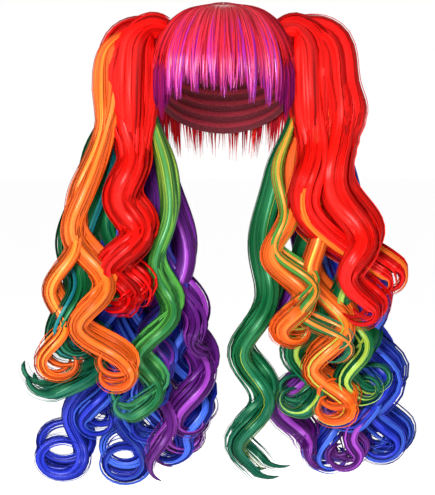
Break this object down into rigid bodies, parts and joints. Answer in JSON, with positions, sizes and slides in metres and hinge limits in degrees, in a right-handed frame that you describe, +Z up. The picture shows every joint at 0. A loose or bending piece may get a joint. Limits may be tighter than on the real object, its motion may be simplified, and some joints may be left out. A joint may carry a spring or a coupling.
{
  "type": "long rainbow wig with high side ponytails",
  "caption": "Hollow long wig with a straight fringe and high side ponytails of wavy locks that run from red through orange, green and blue to purple.",
  "frame": {"origin": "top of the hollow inside the crown, where the top of the head meets the cap", "axes": "+Z up, -Y the way the face looks, +X on the right of someone who looks at the face"},
  "size_m": [0.4461, 0.2209, 0.57],
  "materials": {
    "crown_red": "glossy synthetic hair, red with pink lights",
    "fringe_magenta": "glossy synthetic hair, magenta with violet streaks",
    "temple_purple": "glossy synthetic hair, dark purple",
    "red": "glossy synthetic hair, red",
    "orange": "glossy synthetic hair, orange",
    "lime": "glossy synthetic hair, lime turning green",
    "green": "glossy synthetic hair, green",
    "blue": "glossy synthetic hair, blue",
    "indigo": "glossy synthetic hair, indigo",
    "purple": "glossy synthetic hair, purple",
    "clip_black": "plain moulded plastic"
  },
  "bodies": {
    "root": {"crown": "crown_red", "fringe": "fringe_magenta", "left_temple_lock": "temple_purple", "right_temple_lock": "temple_purple", "back_hair": "crown_red", "left_tail_clip": "clip_black", "right_tail_clip": "clip_black", "left_orange_hair": "orange", "left_red_hair": "red", "right_red_hair": "red", "left_back_lock": "red", "right_back_lock": "red", "left_lime_lock": "lime", "right_lime_lock": "lime", "left_indigo_lock": "indigo", "right_orange_hair": "orange", "right_face_lock": "green", "left_green_hair": "green", "right_green_hair": "green", "left_purple_hair": "purple", "right_purple_hair": "purple", "left_blue_hair": "blue", "right_blue_hair": "blue"}
  },
  "joints": []
}
